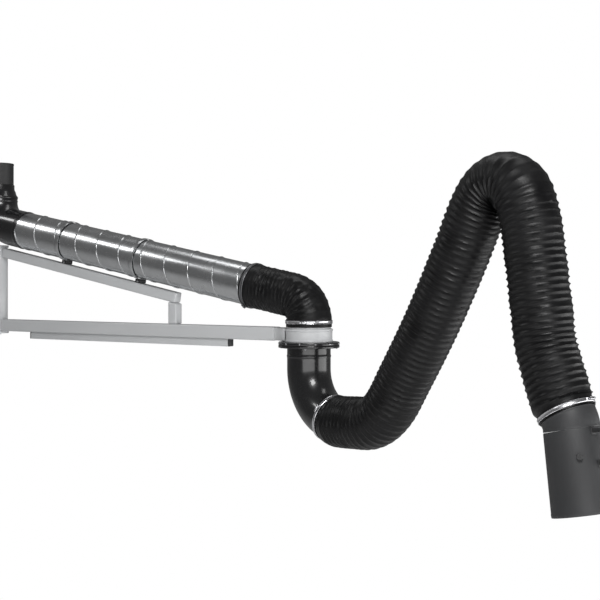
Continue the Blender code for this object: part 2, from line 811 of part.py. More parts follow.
def rod(name, points, r, look, parent, matrix, steps=12):
    """A solid round rod along points in the plane X = 0."""
    bm = bmesh.new()
    rows = []
    points = [Vector(p) for p in points]
    for point, way in zip(points, headings(points)):
        out = Vector((0, -way.z, way.y))
        row = []
        for k in range(steps):
            a = 2 * math.pi * k / steps
            spot = point + out * (r * math.cos(a)) + Vector((r * math.sin(a), 0, 0))
            row.append(bm.verts.new(spot))
        rows.append(row)
    for low, high in zip(rows, rows[1:]):
        for i in range(steps):
            j = (i + 1) % steps
            bm.faces.new((low[i], low[j], high[j], high[i]))
    bm.faces.new(rows[0])
    bm.faces.new(rows[-1][::-1])
    bm.transform(matrix)
    return finish(name, bm, look, parent)


def hood_radius(drop):
    """Outside radius of the tapered hood at a distance below its top."""
    return hood_top_r + (hood_mouth_r - hood_top_r) * drop / hood_long


def neck_and_hood(parents):
    pipe("neck_collar", neck_route(), neck_r, neck_wall, "hood", parents["neck"])
    frame = hood_frame()
    mouth = hood_mouth_r - hood_wall
    outline = [
        (hood_top_r, 2 * gap), (hood_radius(hood_long - 0.002), hood_long - 0.002),
        (hood_mouth_r - 0.001, hood_long), (mouth, hood_long), (hood_top_r - hood_wall, 2 * gap),
    ]
    shell = turned("hood_shell", outline, "hood", parents["hood"], matrix=frame)
    outer = hood_radius(rod_drop)
    inner = outer - hood_wall
    aim = frame @ Matrix.Translation((0, 0, rod_drop)) @ Matrix.Rotation(math.radians(90), 4, "Y")
    cutter = disc(
        "hood_shell_cut", rod_r + gap, inner - 0.01, outer + 0.01, "steel", parents["hood"], matrix=aim
    )
    cut(shell, cutter)
    reach_out = outer + rod_out
    disc("damper_rod", rod_r, -(inner - 0.006), reach_out, "steel", parents["damper"], matrix=aim)
    disc(
        "damper_knob", knob_r, reach_out + gap, reach_out + gap + knob_high, "black",
        parents["damper"], matrix=aim, edge=0.001
    )
    lift = rod_r + gap + damper_thick / 2
    flat = (
        frame @ Matrix.Translation((0, lift, rod_drop)) @ Matrix.Rotation(math.radians(90), 4, "X")
    )
    disc(
        "damper_plate", inner - damper_play - 0.001, -damper_thick / 2, damper_thick / 2, "zinc",
        parents["damper"], matrix=flat, steps=fine
    )
    bend = handle_bend
    low, high = handle_drop, handle_drop + handle_high
    near, far = -(hood_radius(low + handle_r) + gap), -(hood_radius(high + handle_r) + gap)
    out = (near + far) / 2 - handle_out + bend
    route = [(0, near, low)]
    route += [(0, y, z) for y, z in arc((out, low + bend), bend, -90, -180, 5)]
    route += [(0, y, z) for y, z in arc((out, high - bend), bend, 180, 90, 5)]
    route.append((0, far, high))
    turn = Matrix.Rotation(math.radians(handle_turn), 4, "Z")
    rod("hood_handle", route, handle_r, "black", parents["hood"], frame @ turn)


def build():
    clear_scene()
    wall_mount()
    wall_bearings()
    wall_spigot()
    boom_frame()
    boom_neck()
    boom_ring()
    tool_rail()
    duct()
    duct_supports()
    wall_elbow()
    hose_elbow()
    arm = empty("arm_frame", (ring_x, 0, 0), turn=arm_turn)
    parents = {name: arm for name in ("swivel", "lower_arm", "outer_arm", "neck", "hood", "damper")}
    swivel_flange(arm)
    arm_elbow(arm)
    arm_hose(parents)
    links(parents)
    neck_and_hood(parents)


build()
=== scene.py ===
import json
import math
import bpy
from mathutils import Matrix, Vector, noise


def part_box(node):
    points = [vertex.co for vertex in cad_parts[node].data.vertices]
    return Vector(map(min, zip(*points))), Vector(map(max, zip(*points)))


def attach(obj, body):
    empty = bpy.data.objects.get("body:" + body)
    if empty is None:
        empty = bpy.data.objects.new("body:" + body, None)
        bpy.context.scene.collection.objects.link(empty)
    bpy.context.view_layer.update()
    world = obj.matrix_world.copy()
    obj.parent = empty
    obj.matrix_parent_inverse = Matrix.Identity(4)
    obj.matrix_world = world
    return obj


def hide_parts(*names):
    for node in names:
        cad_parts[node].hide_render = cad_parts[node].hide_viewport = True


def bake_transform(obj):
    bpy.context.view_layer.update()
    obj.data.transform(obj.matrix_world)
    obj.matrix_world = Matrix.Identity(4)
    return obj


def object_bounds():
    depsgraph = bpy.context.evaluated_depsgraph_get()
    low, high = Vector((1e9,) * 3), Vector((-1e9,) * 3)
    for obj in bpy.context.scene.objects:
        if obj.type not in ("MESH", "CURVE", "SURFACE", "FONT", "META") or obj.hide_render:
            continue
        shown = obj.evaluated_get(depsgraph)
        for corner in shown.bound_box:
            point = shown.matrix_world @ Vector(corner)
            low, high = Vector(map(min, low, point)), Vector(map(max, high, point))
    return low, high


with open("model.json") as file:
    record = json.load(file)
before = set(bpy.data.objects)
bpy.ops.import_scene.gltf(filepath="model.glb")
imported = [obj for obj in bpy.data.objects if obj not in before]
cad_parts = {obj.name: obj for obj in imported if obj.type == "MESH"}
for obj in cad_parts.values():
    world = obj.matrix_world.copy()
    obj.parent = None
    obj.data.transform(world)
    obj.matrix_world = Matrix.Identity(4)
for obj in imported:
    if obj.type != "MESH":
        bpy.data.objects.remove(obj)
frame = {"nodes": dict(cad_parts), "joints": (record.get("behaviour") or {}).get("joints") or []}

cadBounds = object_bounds()
print("frame loaded:", len(frame["nodes"]), "nodes")

# where things are, read from the frame
joints = {joint["name"]: joint for joint in frame["joints"]}
ringX = joints["arm_swivel"]["pos_m"][0]
swingX = joints["boom_swing"]["pos_m"][0]
armAxis = Vector(joints["shoulder"]["axis"])
armWay = Vector((-armAxis.y, armAxis.x, 0)).normalized()  # along the arm, level
up = Vector((0, 0, 1))


def armPoint(along, height):
    return Vector((ringX, 0, 0)) + armWay * along + up * height


def boomPoint(x, height):
    return Vector((x, 0, height))


# materials
finishes = {
    "whitePaint": {
        "slot": "white_paint", "colour": (0.58, 0.59, 0.60), "shade": (0.53, 0.54, 0.55),
        "roughness": 0.34, "spread": 0.10, "metallic": 0.0, "patch": 3.0, "grain": 420.0,
        "amount": 0.45, "bump": 0.10, "coat": 0.25,
    },
    "galvanised": {
        "slot": "galvanised", "colour": (0.60, 0.61, 0.62), "shade": (0.50, 0.51, 0.52),
        "roughness": 0.20, "spread": 0.10, "metallic": 1.0, "patch": 9.0, "grain": 160.0,
        "amount": 0.40, "bump": 0.03, "spangle": 60.0,
    },
    "plated": {
        "slot": "steel", "colour": (0.70, 0.70, 0.72), "shade": (0.48, 0.48, 0.50),
        "roughness": 0.22, "spread": 0.12, "metallic": 1.0, "patch": 40.0, "grain": 500.0,
        "amount": 0.5, "bump": 0.05,
    },
    "darkSteel": {
        "slot": "steel", "colour": (0.20, 0.20, 0.21), "shade": (0.10, 0.10, 0.10),
        "roughness": 0.38, "spread": 0.12, "metallic": 1.0, "patch": 30.0, "grain": 400.0,
        "amount": 0.5, "bump": 0.05,
    },
    "glossBlack": {
        "slot": "black_plastic", "colour": (0.007, 0.007, 0.0075), "shade": (0.012, 0.012, 0.013),
        "roughness": 0.20, "spread": 0.10, "metallic": 0.0, "patch": 7.0, "grain": 300.0,
        "amount": 0.5, "bump": 0.04, "coat": 0.4,
    },
    "satinBlack": {
        "slot": "black_plastic", "colour": (0.020, 0.020, 0.021), "shade": (0.034, 0.034, 0.035),
        "roughness": 0.42, "spread": 0.12, "metallic": 0.0, "patch": 9.0, "grain": 500.0,
        "amount": 0.5, "bump": 0.12,
    },
    "hoseCloth": {
        "slot": "hose_fabric", "colour": (0.003, 0.003, 0.0033), "shade": (0.008, 0.008, 0.0085),
        "roughness": 0.32, "spread": 0.16, "metallic": 0.0, "patch": 11.0, "grain": 900.0,
        "amount": 0.55, "bump": 0.30, "specular": 0.26,
    },
    "hoodPlastic": {
        "slot": "hood_plastic", "colour": (0.028, 0.0285, 0.030), "shade": (0.038, 0.039, 0.041),
        "roughness": 0.44, "spread": 0.10, "metallic": 0.0, "patch": 6.0, "grain": 700.0,
        "amount": 0.4, "bump": 0.15,
    },
    "floorPaint": {
        "slot": None, "colour": (0.90, 0.90, 0.90), "shade": (0.87, 0.87, 0.87),
        "roughness": 0.7, "spread": 0.05, "metallic": 0.0, "patch": 0.8, "grain": 60.0,
        "amount": 0.3, "bump": 0.02,
    },
}


def newGroup(name, numbers, colours, outputs):
    group = bpy.data.node_groups.new(name, "ShaderNodeTree")
    for label in colours:
        group.interface.new_socket(label, in_out="INPUT", socket_type="NodeSocketColor")
    for label in numbers:
        group.interface.new_socket(label, in_out="INPUT", socket_type="NodeSocketFloat")
    for label, kind in outputs:
        group.interface.new_socket(label, in_out="OUTPUT", socket_type=kind)
    inside = group.nodes.new("NodeGroupInput")
    outside = group.nodes.new("NodeGroupOutput")
    return group, inside, outside


def grainGroup():
    group, given, result = newGroup(
        "surfaceGrain", ("Patch Scale", "Grain Scale", "Amount", "Roughness", "Spread", "Bump"),
        ("Colour", "Shade"),
        (("Colour", "NodeSocketColor"), ("Roughness", "NodeSocketFloat"), ("Normal", "NodeSocketVector")),
    )
    nodes, links = group.nodes, group.links
    place = nodes.new("ShaderNodeTexCoord")
    patch = nodes.new("ShaderNodeTexNoise")
    patch.inputs["Detail"].default_value = 5.0
    grain = nodes.new("ShaderNodeTexNoise")
    grain.inputs["Detail"].default_value = 3.0
    links.new(place.outputs["Object"], patch.inputs["Vector"])
    links.new(place.outputs["Object"], grain.inputs["Vector"])
    links.new(given.outputs["Patch Scale"], patch.inputs["Scale"])
    links.new(given.outputs["Grain Scale"], grain.inputs["Scale"])
    widen = nodes.new("ShaderNodeMapRange")  # stretches the patches to the full range
    widen.inputs["From Min"].default_value = 0.35
    widen.inputs["From Max"].default_value = 0.65
    links.new(patch.outputs["Fac"], widen.inputs["Value"])
    share = nodes.new("ShaderNodeMath")
    share.operation = "MULTIPLY"
    links.new(widen.outputs["Result"], share.inputs[0])
    links.new(given.outputs["Amount"], share.inputs[1])
    blendColour = nodes.new("ShaderNodeMixRGB")
    links.new(share.outputs["Value"], blendColour.inputs["Fac"])
    links.new(given.outputs["Colour"], blendColour.inputs["Color1"])
    links.new(given.outputs["Shade"], blendColour.inputs["Color2"])
    links.new(blendColour.outputs["Color"], result.inputs["Colour"])
    spread = nodes.new("ShaderNodeMath")
    spread.operation = "MULTIPLY_ADD"
    links.new(widen.outputs["Result"], spread.inputs[0])
    links.new(given.outputs["Spread"], spread.inputs[1])
    links.new(given.outputs["Roughness"], spread.inputs[2])
    links.new(spread.outputs["Value"], result.inputs["Roughness"])
    bump = nodes.new("ShaderNodeBump")
    bump.inputs["Distance"].default_value = 0.0006
    links.new(given.outputs["Bump"], bump.inputs["Strength"])
    links.new(grain.outputs["Fac"], bump.inputs["Height"])
    links.new(bump.outputs["Normal"], result.inputs["Normal"])
    return group


def spangleGroup():
    group, given, result = newGroup(
        "zincSpangle", ("Scale", "Depth"), ("Colour",), (("Colour", "NodeSocketColor"),)
    )
    nodes, links = group.nodes, group.links
    place = nodes.new("ShaderNodeTexCoord")
    cells = nodes.new("ShaderNodeTexVoronoi")
    links.new(place.outputs["Object"], cells.inputs["Vector"])
    links.new(given.outputs["Scale"], cells.inputs["Scale"])
    tone = nodes.new("ShaderNodeSeparateColor")
    links.new(cells.outputs["Color"], tone.inputs["Color"])
    dim = nodes.new("ShaderNodeMath")
    dim.operation = "MULTIPLY"
    links.new(tone.outputs["Red"], dim.inputs[0])
    links.new(given.outputs["Depth"], dim.inputs[1])
    keep = nodes.new("ShaderNodeMath")
    keep.operation = "SUBTRACT"
    keep.inputs[0].default_value = 1.0
    links.new(dim.outputs["Value"], keep.inputs[1])
    scaled = nodes.new("ShaderNodeMixRGB")
    scaled.blend_type = "MULTIPLY"
    scaled.inputs["Fac"].default_value = 1.0
    links.new(given.outputs["Colour"], scaled.inputs["Color1"])
    links.new(keep.outputs["Value"], scaled.inputs["Color2"])
    links.new(scaled.outputs["Color"], result.inputs["Colour"])
    return group


grainNodes = grainGroup()
spangleNodes = spangleGroup()
paints = {}


def paint(name):
    if name in paints:
        return paints[name]
    look = finishes[name]
    material = bpy.data.materials.new(name)
    material.use_nodes = True
    nodes, links = material.node_tree.nodes, material.node_tree.links
    shader = nodes["Principled BSDF"]
    grain = nodes.new("ShaderNodeGroup")
    grain.node_tree = grainNodes
    grain.inputs["Colour"].default_value = (*look["colour"], 1)
    grain.inputs["Shade"].default_value = (*look["shade"], 1)
    for socket, key in (
        ("Patch Scale", "patch"), ("Grain Scale", "grain"), ("Amount", "amount"),
        ("Roughness", "roughness"), ("Spread", "spread"), ("Bump", "bump"),
    ):
        grain.inputs[socket].default_value = look[key]
    colour = grain.outputs["Colour"]
    if "spangle" in look:
        spangle = nodes.new("ShaderNodeGroup")
        spangle.node_tree = spangleNodes
        spangle.inputs["Scale"].default_value = look["spangle"]
        spangle.inputs["Depth"].default_value = 0.07
        links.new(colour, spangle.inputs["Colour"])
        colour = spangle.outputs["Colour"]
    links.new(colour, shader.inputs["Base Color"])
    links.new(grain.outputs["Roughness"], shader.inputs["Roughness"])
    links.new(grain.outputs["Normal"], shader.inputs["Normal"])
    shader.inputs["Metallic"].default_value = look["metallic"]
    shader.inputs["Specular IOR Level"].default_value = look.get("specular", 0.5)
    shader.inputs["Coat Weight"].default_value = look.get("coat", 0.0)
    shader.inputs["Coat Roughness"].default_value = 0.08
    paints[name] = material
    return material


# shared modelling steps
def deselectAll():
    if bpy.context.object and bpy.context.object.mode != "OBJECT":
        bpy.ops.object.mode_set(mode="OBJECT")
    bpy.ops.object.select_all(action="DESELECT")


def pick(obj):
    deselectAll()
    obj.select_set(True)
    bpy.context.view_layer.objects.active = obj


def tidyMesh(obj, distance=0.00002):
    pick(obj)
    bpy.ops.object.mode_set(mode="EDIT")
    bpy.ops.mesh.select_all(action="SELECT")
    bpy.ops.mesh.remove_doubles(threshold=distance)
    bpy.ops.mesh.normals_make_consistent(inside=False)
    bpy.ops.object.mode_set(mode="OBJECT")


def addModifier(obj, kind, **settings):
    pick(obj)
    modifier = obj.modifiers.new(kind.lower(), kind)
    for key, value in settings.items():
        setattr(modifier, key, value)
    bpy.ops.object.modifier_apply(modifier=modifier.name)


def roundEdges(obj, width, segments=2, angle=30):
    addModifier(
        obj, "BEVEL", width=width, segments=segments, limit_method="ANGLE",
        angle_limit=math.radians(angle), use_clamp_overlap=True,
    )


def smoothOff(obj, angle=32):
    pick(obj)
    bpy.ops.object.shade_smooth_by_angle(angle=math.radians(angle))


def settle(obj, name, finish, body=None, nodes=(), smooth=32):
    obj.name = name
    obj.data.name = name
    pick(obj)
    bpy.ops.object.transform_apply(location=True, rotation=True, scale=True)
    obj.data.materials.clear()
    obj.data.materials.append(paint(finish))
    if smooth:
        smoothOff(obj, smooth)
    if body:
        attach(obj, body)
    if nodes:
        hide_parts(*nodes)
    return obj


def joined(parts):
    deselectAll()
    for part in parts:
        part.select_set(True)
    bpy.context.view_layer.objects.active = parts[0]
    bpy.ops.object.join()
    return bpy.context.object


def facing(way, side=(0, 1, 0)):
    # a turn that takes +Z to the way given, with +X kept near the side given
    z = Vector(way).normalized()
    x = (Vector(side) - z * z.dot(Vector(side))).normalized()
    return Matrix((x, z.cross(x), z)).transposed().to_4x4()


def spunShape(outline, steps=96, edge=0.0006):
    # a closed outline of (radius, height), spun all the way round Z
    deselectAll()
    bpy.ops.mesh.primitive_circle_add(vertices=len(outline), radius=0.01)
    obj = bpy.context.object
    for vertex, (radius, height) in zip(obj.data.vertices, outline):
        vertex.co = (radius, 0, height)
    bpy.ops.object.mode_set(mode="EDIT")
    bpy.ops.mesh.select_all(action="SELECT")
    bpy.ops.mesh.spin(steps=steps, angle=2 * math.pi, center=(0, 0, 0), axis=(0, 0, 1))
    bpy.ops.object.mode_set(mode="OBJECT")
    tidyMesh(obj)
    if edge:
        roundEdges(obj, edge)
    return obj


def placed(obj, spot, turn=None):
    obj.data.transform(Matrix.Translation(spot) @ (turn or Matrix()))
    return obj


def roundBar(radius, low, high, steps=32, edge=0.0006):
    deselectAll()
    bpy.ops.mesh.primitive_cylinder_add(
        vertices=steps, radius=radius, depth=high - low, location=(0, 0, (low + high) / 2)
    )
    obj = bpy.context.object
    bpy.ops.object.transform_apply(location=True)
    if edge:
        roundEdges(obj, edge)
    return obj


def softBlock(low, high, edge, segments=3):
    deselectAll()
    bpy.ops.mesh.primitive_cube_add(size=1)
    obj = bpy.context.object
    size = [b - a for a, b in zip(low, high)]
    middle = [(a + b) / 2 for a, b in zip(low, high)]
    obj.data.transform(Matrix.Translation(middle) @ Matrix.Diagonal((*size, 1)))
    if edge:
        roundEdges(obj, edge, segments)
    return obj


def softenedNode(name, node, finish, body, edge, segments=2, angle=30):
    # a finished copy of a frame part, with its loose triangles joined and its edges rounded
    copy = frame["nodes"][node].copy()
    copy.data = frame["nodes"][node].data.copy()
    for key in list(copy.keys()):
        del copy[key]
    copy.parent = None
    bpy.context.scene.collection.objects.link(copy)
    tidyMesh(copy)
    bpy.ops.object.mode_set(mode="EDIT")
    bpy.ops.mesh.select_all(action="SELECT")
    bpy.ops.mesh.dissolve_limited(angle_limit=math.radians(1))
    bpy.ops.object.mode_set(mode="OBJECT")
    roundEdges(copy, edge, segments, angle)
    return settle(copy, name, finish, body, (node,))


# tubes wrapped round a route
def smoothRoute(points, spacing):
    # the same smooth curve as the frame's hose, resampled at even steps
    ends = [2 * points[0] - points[1], *points, 2 * points[-1] - points[-2]]
    dense = []
    for a, b, c, d in zip(ends, ends[1:], ends[2:], ends[3:]):
        leave = (c - a).normalized() * (c - b).length
        arrive = (d - b).normalized() * (c - b).length
        for i in range(24):
            t = i / 24
            dense.append(
                b * (2 * t**3 - 3 * t**2 + 1) + leave * (t**3 - 2 * t**2 + t)
                + c * (3 * t**2 - 2 * t**3) + arrive * (t**3 - t**2)
            )
    dense.append(ends[-2])
    return evenRoute(dense, spacing)


def evenRoute(dense, spacing):
    lengths = [0.0]
    for a, b in zip(dense, dense[1:]):
        lengths.append(lengths[-1] + (b - a).length)
    count = max(2, round(lengths[-1] / spacing))
    even, k = [], 0
    for i in range(count + 1):
        goal = lengths[-1] * i / count
        while k < len(lengths) - 2 and lengths[k + 1] < goal:
            k += 1
        t = (goal - lengths[k]) / (lengths[k + 1] - lengths[k])
        even.append(dense[k].lerp(dense[k + 1], t))
    return even


def arcPoints(centre, radius, first, last, steps, point):
    spots = []
    for i in range(steps + 1):
        a = math.radians(first + (last - first) * i / steps)
        spots.append(point(centre[0] + radius * math.cos(a), centre[1] + radius * math.sin(a)))
    return spots


def wrappedTube(route, across, radiusAt, steps=72, wall=0.0025, first=0, last=None):
    # a grid of steps by stations, rolled round the route; radiusAt(distance, turn, squeeze)
    last = len(route) - 1 if last is None else last
    stations = last - first
    deselectAll()
    bpy.ops.mesh.primitive_grid_add(x_subdivisions=steps, y_subdivisions=stations, size=1)
    obj = bpy.context.object
    spacing = (route[1] - route[0]).length
    ways = [
        (route[min(i + 1, len(route) - 1)] - route[max(i - 1, 0)]).normalized()
        for i in range(len(route))
    ]
    for vertex in obj.data.vertices:
        column = round((vertex.co.x + 0.5) * steps) % steps
        row = first + round((vertex.co.y + 0.5) * stations)
        way = ways[row]
        out = across.cross(way).normalized()
        near, far = ways[max(row - 4, 0)], ways[min(row + 4, len(ways) - 1)]
        bend = (far - near).dot(out) / (spacing * (min(row + 4, len(ways) - 1) - max(row - 4, 0)))
        turn = column / steps
        side = math.cos(2 * math.pi * turn)
        radius = radiusAt(row * spacing, turn, bend * side)
        vertex.co = (
            route[row] + out * (radius * side) + across * (radius * math.sin(2 * math.pi * turn))
        )
    tidyMesh(obj, 0.000005)
    if wall:
        addModifier(obj, "SOLIDIFY", thickness=wall, offset=-1)
    return obj


print("modelling the duct")
# spiral duct
ductLook = {"pitch": 0.118, "seamWidth": 0.0075, "seamHeight": 0.0026, "steps": 96, "wall": 0.0012}


def ductLine():
    # centre line and radius of the duct, from the frame's own duct
    obj = frame["nodes"]["spiral_duct"]
    spots = [vertex.co.copy() for vertex in obj.data.vertices]
    low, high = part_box("spiral_duct")
    radius = (high.y - low.y) / 2
    west = [p for p in spots if p.x < low.x + radius * 0.45]
    east = [p for p in spots if p.x > high.x - radius * 0.45]
    ends = []
    for group in (west, east):
        lowest = min(group, key=lambda p: p.z)
        highest = max(group, key=lambda p: p.z)
        middle = (lowest + highest) / 2
        middle.y = 0
        ends.append(middle)
    return ends[0], ends[1], radius


def spiralDuct():
    look = ductLook
    start, stop, radius = ductLine()
    way = (stop - start).normalized()
    length = (stop - start).length
    deselectAll()
    rise = look["pitch"]
    seam, lift = look["seamWidth"], look["seamHeight"]
    # one pitch of the wall: a half-round seam, then the flat strip up to the next seam
    profile = [
        (seam * (1 - math.cos(math.pi * i / 8)) / 2, lift * math.sin(math.pi * i / 8)) for i in range(9)
    ]
    profile += [(rise * 0.36, 0.0), (rise * 0.62, 0.0), (rise, 0.0)]
    bpy.ops.mesh.primitive_circle_add(vertices=len(profile), radius=0.01)
    obj = bpy.context.object
    for vertex, (height, out) in zip(obj.data.vertices, profile):
        vertex.co = (radius - lift + out, 0, height)
    bpy.ops.object.mode_set(mode="EDIT")
    bpy.ops.mesh.select_all(action="DESELECT")
    bpy.ops.object.mode_set(mode="OBJECT")
    closing = {0, len(profile) - 1}
    for edge in obj.data.edges:
        edge.select = set(edge.vertices) == closing
    for vertex in obj.data.vertices:
        vertex.select = False
    bpy.ops.object.mode_set(mode="EDIT")
    bpy.ops.mesh.select_mode(type="EDGE")
    bpy.ops.mesh.delete(type="EDGE_FACE")
    bpy.ops.mesh.select_mode(type="VERT")
    bpy.ops.object.mode_set(mode="OBJECT")
    turns = math.ceil(length / rise) + 2
    addModifier(
        obj, "SCREW", angle=2 * math.pi, screw_offset=rise, iterations=turns, steps=look["steps"],
        render_steps=look["steps"], use_merge_vertices=True, merge_threshold=0.00002,
    )
    obj.data.transform(Matrix.Translation((0, 0, -rise * 1.3)))
    obj.data.transform(Matrix.Translation(start) @ facing(way, (0, 0, 1)))
    pick(obj)
    for spot, normal in ((start, -way), (stop, way)):
        bpy.ops.object.mode_set(mode="EDIT")
        bpy.ops.mesh.select_all(action="SELECT")
        bpy.ops.mesh.bisect(plane_co=spot, plane_no=normal, clear_outer=True)
        bpy.ops.object.mode_set(mode="OBJECT")
    tidyMesh(obj)
    addModifier(obj, "SOLIDIFY", thickness=look["wall"], offset=-1)
    return settle(obj, "spiralDuct", "galvanised", "boom", ("spiral_duct",), 40)


spiralDuct()

# the long hose
hoseLook = {
    "radius": 0.0903, "endRadius": 0.0822, "pitch": 0.0205, "perRib": 8, "depth": 0.0040,
    "steps": 64, "wall": 0.0022, "crease": 0.0022, "cuff": 0.022,
}
elbowLook = {"drop": 0.120, "bend": 0.170, "sweep": 74.0, "radius": 0.0800}
wristSpot = (1.128, -0.100)
neckLean = math.radians(30)
neckWay = armWay * math.sin(neckLean) - up * math.cos(neckLean)
neckEnd = armPoint(*wristSpot) + neckWay * 0.090
sweep = math.radians(elbowLook["sweep"])
elbowExit = armPoint(
    elbowLook["bend"] * (1 - math.cos(sweep)), -elbowLook["drop"] - elbowLook["bend"] * math.sin(sweep)
)
exitWay = armWay * math.sin(sweep) - up * math.cos(sweep)
hoseSpots = [
    (0.250, -0.291), (0.350, -0.279), (0.427, -0.229), (0.500, -0.131), (0.632, 0.062), (0.760, 0.278),
    (0.828, 0.404), (0.882, 0.467), (0.945, 0.486), (1.002, 0.455), (1.034, 0.380),
    (1.055, 0.270), (1.076, 0.130), (1.096, 0.010),
]
lead = 0.026
hosePoints = [elbowExit + exitWay * 0.001, elbowExit + exitWay * lead, elbowExit + exitWay * 1.6 * lead]
hosePoints += [armPoint(*spot) for spot in hoseSpots]
hosePoints += [neckEnd - neckWay * 1.6 * lead, neckEnd - neckWay * lead, neckEnd]
hoseRoute = smoothRoute(hosePoints, hoseLook["pitch"] / hoseLook["perRib"])
hoseStep = (hoseRoute[1] - hoseRoute[0]).length
hoseLength = hoseStep * (len(hoseRoute) - 1)


def hoseRadius(distance, turn, squeeze):
    look = hoseLook
    fromEnd = min(distance, hoseLength - distance)
    grown = min(max((fromEnd - look["cuff"]) / look["cuff"], 0.0), 1.0)  # from the cuff to full size
    grown = grown * grown * (3 - 2 * grown)
    radius = look["endRadius"] + (look["radius"] - look["endRadius"]) * grown
    phase = (distance / look["pitch"] - turn) % 1.0
    a = 2 * math.pi * turn
    wander = noise.noise(Vector((math.cos(a) * 1.6, math.sin(a) * 1.6, distance * 22)))
    pinch = min(max(squeeze * look["radius"], -0.75), 0.75)
    depth = look["depth"] * (1 + 0.7 * wander) * (1 + 1.3 * max(pinch, 0.0) + 0.7 * min(pinch, 0.0))
    crumple = noise.noise(Vector((math.cos(a) * 5, math.sin(a) * 5, distance * 75)))
    crease = look["crease"] * crumple * math.sin(math.pi * phase)
    valley = depth * math.sin(math.pi * phase) ** 0.75
    return radius - (valley + abs(crease)) * max(grown, 0.12)


def nearestStation(spot):
    return min(range(len(hoseRoute)), key=lambda i: (hoseRoute[i] - spot).length)


def longHose():
    top = nearestStation(armPoint(0.945, 0.475))
    perRib = hoseLook["perRib"]
    lowerCut = nearestStation(armPoint(0.632, 0.060)) // perRib * perRib
    outerCut = nearestStation(armPoint(1.066, 0.190)) // perRib * perRib
    last = len(hoseRoute) - 1

    topAt = top * hoseStep
    stretches = (
        ("hoseLower", 0, lowerCut, "swivel", "lower_arm", 0.05, 0.34,
         ("hose_bend_shoulder", "hose_lower")),
        ("hoseTop", lowerCut, outerCut, "lower_arm", "outer_arm", topAt - 0.15, topAt + 0.15,
         ("hose_bend_elbow",)),
        ("hoseOuter", outerCut, last, "outer_arm", "neck", hoseLength - 0.125, hoseLength - 0.035,
         ("hose_outer", "hose_bend_wrist")),
    )
    for name, first, final, bodyA, bodyB, start, end, nodes in stretches:
        obj = wrappedTube(
            hoseRoute, armAxis, hoseRadius, hoseLook["steps"], hoseLook["wall"], first, final
        )
        settle(obj, name, "hoseCloth", None, nodes, 60)
        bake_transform(obj)


print("modelling the hoses")
longHose()


# flexible elbow between the duct and the ring
flexLook = {
    "bend": 0.090, "pitch": 0.0165, "depth": 0.0026, "fold": 0.0042, "sink": 0.0004, "cuff": 0.030,
    "taper": 0.020, "wall": 0.0020, "gap": 0.0008, "spacing": 0.0022,
}


def flexElbow():
    look = flexLook
    start, stop, _ = ductLine()
    way = (stop - start).normalized()
    low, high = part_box("hose_elbow")
    radius = (high.y - low.y) / 2
    bend = look["bend"]
    down = math.atan2(-way.z, way.x)
    straight = (ringX - stop.x - bend * (1 - math.sin(down))) / math.cos(down)
    knee = stop + way * straight
    centre = (ringX - bend, knee.z - bend * math.cos(down))
    gap = look["gap"]
    dense = [stop + way * (gap + (straight - gap) * i / 8) for i in range(9)]
    dense += arcPoints(centre, bend, 90 - math.degrees(down), 0, 24, boomPoint)[1:]
    dense += [boomPoint(ringX, centre[1] + (low.z - centre[1]) * i / 6) for i in range(1, 7)]
    route = evenRoute(dense, look["spacing"])
    length = (route[1] - route[0]).length * (len(route) - 1)

    def radiusAt(distance, turn, squeeze):
        a = 2 * math.pi * turn
        fromEnd = min(distance, length - distance)
        loose = min(max((fromEnd - look["cuff"]) / look["taper"], 0.0), 1.0)
        wander = noise.noise(Vector((math.cos(a) * 1.8, math.sin(a) * 1.8, distance * 26)))
        phase = (distance / look["pitch"] - turn + 0.3 * wander) % 1.0
        pinch = min(max(squeeze * radius, -0.8), 0.8)
        depth = look["depth"] * (1 + 0.7 * wander)
        depth *= 1 + 1.2 * max(pinch, 0) + 0.4 * min(pinch, 0)
        fold = abs(noise.noise(Vector((math.cos(a) * 3.2, math.sin(a) * 3.2, distance * 60))))
        valley = depth * math.sin(math.pi * phase) ** 0.8 + look["fold"] * fold
        return radius - look["sink"] - valley * loose

    obj = wrappedTube(route, Vector((0, 1, 0)), radiusAt, 72, look["wall"])
    return settle(obj, "flexElbow", "hoseCloth", "boom", ("hose_elbow",), 60)


flexElbow()


# moulded elbows
mouldLook = {"bead": 0.0016, "beadWidth": 0.0035, "sink": 0.0017, "wall": 0.0026, "spacing": 0.0030}
wallElbowLook = {"bend": 0.115, "radius": 0.0810, "gap": 0.0008}


def mouldedElbow(name, dense, across, radius, body, node, beadAt):
    look = mouldLook
    route = evenRoute(dense, look["spacing"])
    length = (route[1] - route[0]).length * (len(route) - 1)

    def radiusAt(distance, turn, squeeze):
        grown = 0.0
        for spot in beadAt:
            off = abs(distance - spot * length)
            grown = max(grown, look["bead"] * math.exp(-((off / look["beadWidth"]) ** 2)))
        return radius - look["sink"] + grown

    obj = wrappedTube(route, across, radiusAt, 96, look["wall"])
    return settle(obj, name, "glossBlack", body, (node,), 40)


